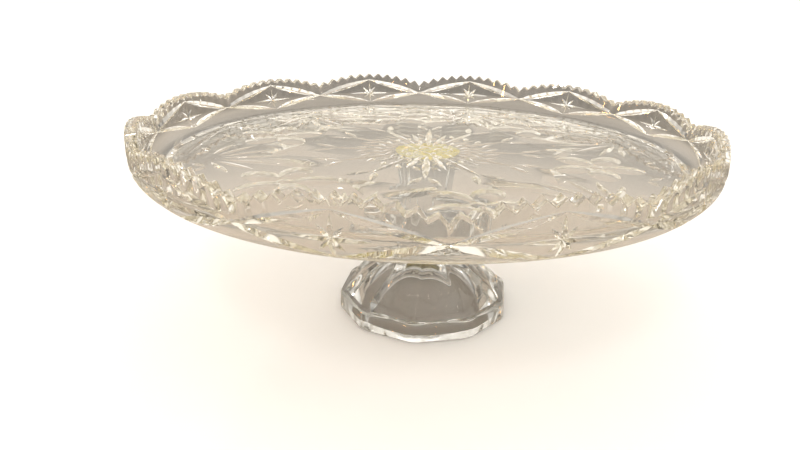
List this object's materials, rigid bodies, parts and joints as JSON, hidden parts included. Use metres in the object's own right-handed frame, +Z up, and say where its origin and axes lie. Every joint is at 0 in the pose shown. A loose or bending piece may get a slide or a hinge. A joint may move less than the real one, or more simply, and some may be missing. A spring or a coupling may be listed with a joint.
{
  "type": "footed cake plate",
  "caption": "Low footed cake plate of clear cut glass: a round plate with a scalloped, saw-toothed rim on a fluted bell foot, for serving a cake.",
  "frame": {"origin": "centre of the foot's base, on the surface that the stand rests on", "axes": "+Z up along the axis of the plate and the foot; a valley of the scalloped rim faces -Y"},
  "size_m": [0.3004, 0.3004, 0.1114],
  "materials": {
    "plate_glass": "polished cut glass with a faint warm grey tint",
    "foot_glass": "polished pressed glass, almost colourless",
    "bond_resin": "clear resin yellowed with age"
  },
  "bodies": {
    "root": {"plate": "plate_glass", "foot": "foot_glass", "bond_disc": "bond_resin"}
  },
  "joints": []
}
